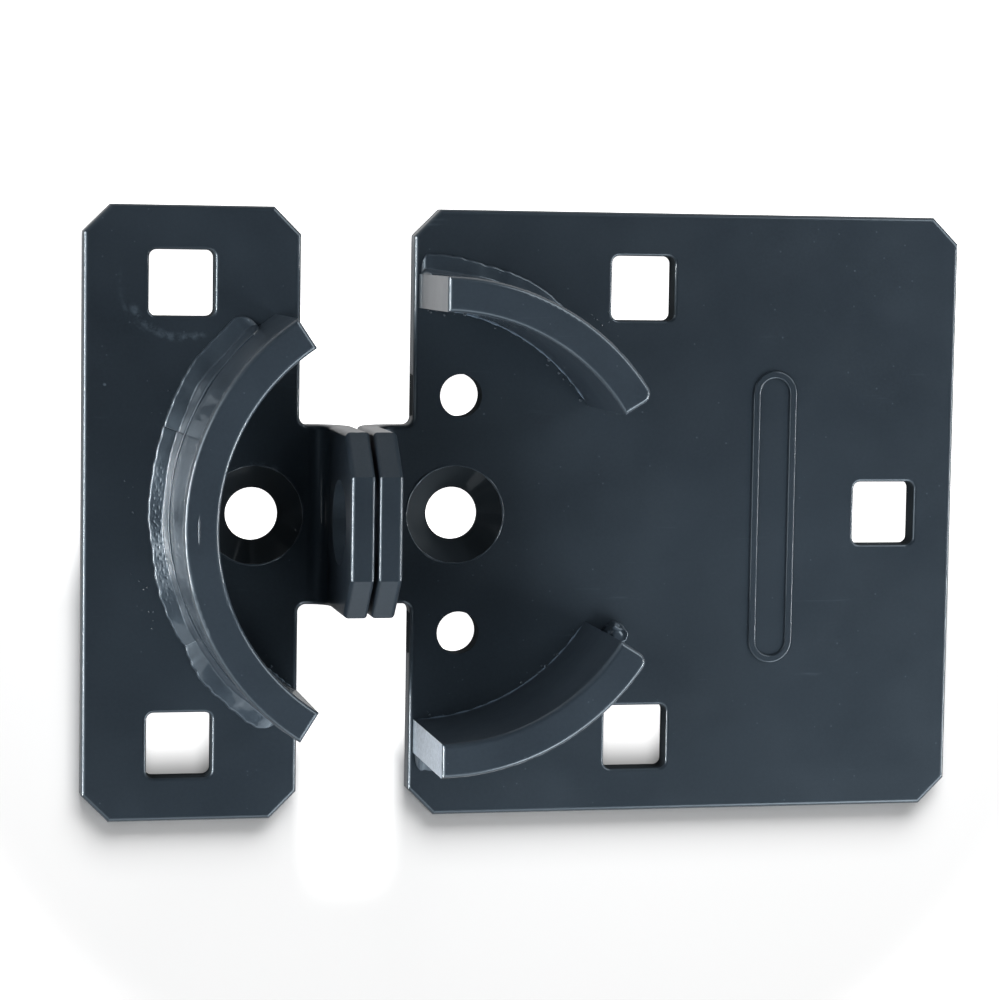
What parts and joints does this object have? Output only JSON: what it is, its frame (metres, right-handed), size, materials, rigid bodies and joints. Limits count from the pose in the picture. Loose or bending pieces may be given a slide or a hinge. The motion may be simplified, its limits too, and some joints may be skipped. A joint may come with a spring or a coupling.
{
  "type": "two-piece hidden-shackle padlock hasp",
  "caption": "Two bent steel leaves whose upright ears meet face to face inside curved welded guards, forming a pocket that hides a round shackleless padlock.",
  "frame": {"origin": "centre of the closed hasp's footprint on its mounting plane", "axes": "+X from the narrow leaf to the wide leaf across the door edges, +Y up the door edge, +Z out of the door through the leaves' front faces"},
  "size_m": [0.184, 0.125, 0.0365],
  "materials": {
    "painted_steel": "satin powder coat over steel plate",
    "painted_weld": "satin powder coat over rippled weld metal"
  },
  "bodies": {
    "wide_side": {"wide_leaf": "painted_steel", "upper_guard": "painted_steel", "lower_guard": "painted_steel", "upper_weld": "painted_weld", "lower_weld": "painted_weld", "lower_end_weld": "painted_weld"},
    "narrow_side": {"narrow_leaf": "painted_steel", "narrow_guard": "painted_steel", "narrow_weld_top": "painted_weld", "narrow_weld_middle": "painted_weld", "narrow_weld_bottom": "painted_weld"}
  },
  "joints": [
    {"name": "leaf_parting", "type": "slide", "parent": "wide_side", "child": "narrow_side", "axis": [-1, 0, 0], "range_m": [0, 0.06]}
  ]
}
